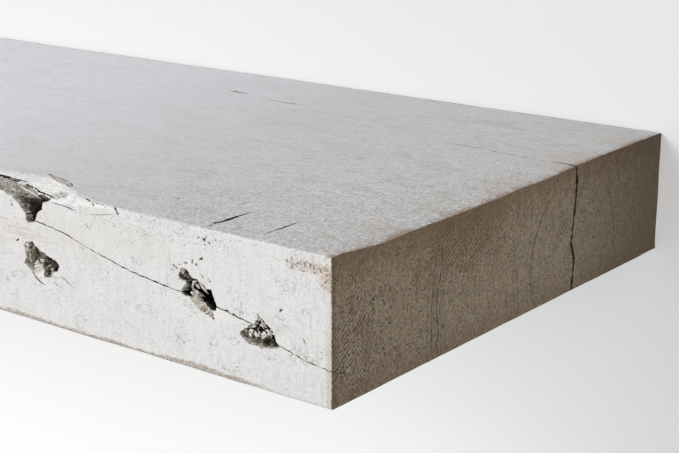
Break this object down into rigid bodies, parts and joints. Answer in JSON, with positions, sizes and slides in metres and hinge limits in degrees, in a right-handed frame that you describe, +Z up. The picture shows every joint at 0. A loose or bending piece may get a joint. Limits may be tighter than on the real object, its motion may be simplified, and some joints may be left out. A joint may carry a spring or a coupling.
{
  "type": "floating wall shelf",
  "caption": "Thick whitewashed timber shelf with knots, splits and a torn edge, sliding onto steel rods of a hidden wall bar held by lag screws.",
  "frame": {"origin": "middle of the wall bar's back face, which lies on the wall; the shelf board is centred on it in length and height", "axes": "+X along the shelf towards the end with the wide split, +Y into the wall (the shelf stands out towards -Y), +Z up"},
  "size_m": [0.9144, 0.3477, 0.0636],
  "materials": {
    "timber": "worn whitewash over rough-sawn softwood, bare taupe end grain",
    "bar": "satin black powder coat",
    "rod": "bright drawn steel",
    "zinc": "bright zinc plate"
  },
  "bodies": {
    "bracket": {"wall_bar": "bar", "rod_1": "rod", "rod_2": "rod", "rod_3": "rod", "rod_4": "rod", "rod_bolt_1": "zinc", "rod_bolt_2": "zinc", "rod_bolt_3": "zinc", "rod_bolt_4": "zinc", "wall_screw_1": "zinc", "wall_screw_2": "zinc", "wall_screw_3": "zinc", "wall_screw_4": "zinc", "wall_screw_5": "zinc", "wall_screw_6": "zinc", "wall_washer_1": "zinc", "wall_washer_2": "zinc", "wall_washer_3": "zinc", "wall_washer_4": "zinc", "wall_washer_5": "zinc", "wall_washer_6": "zinc"},
    "board": {"shelf_board": "timber"}
  },
  "joints": [
    {"name": "board_slide", "type": "slide", "parent": "bracket", "child": "board", "axis": [0, -1, 0], "range_m": [0, 0.23]}
  ]
}
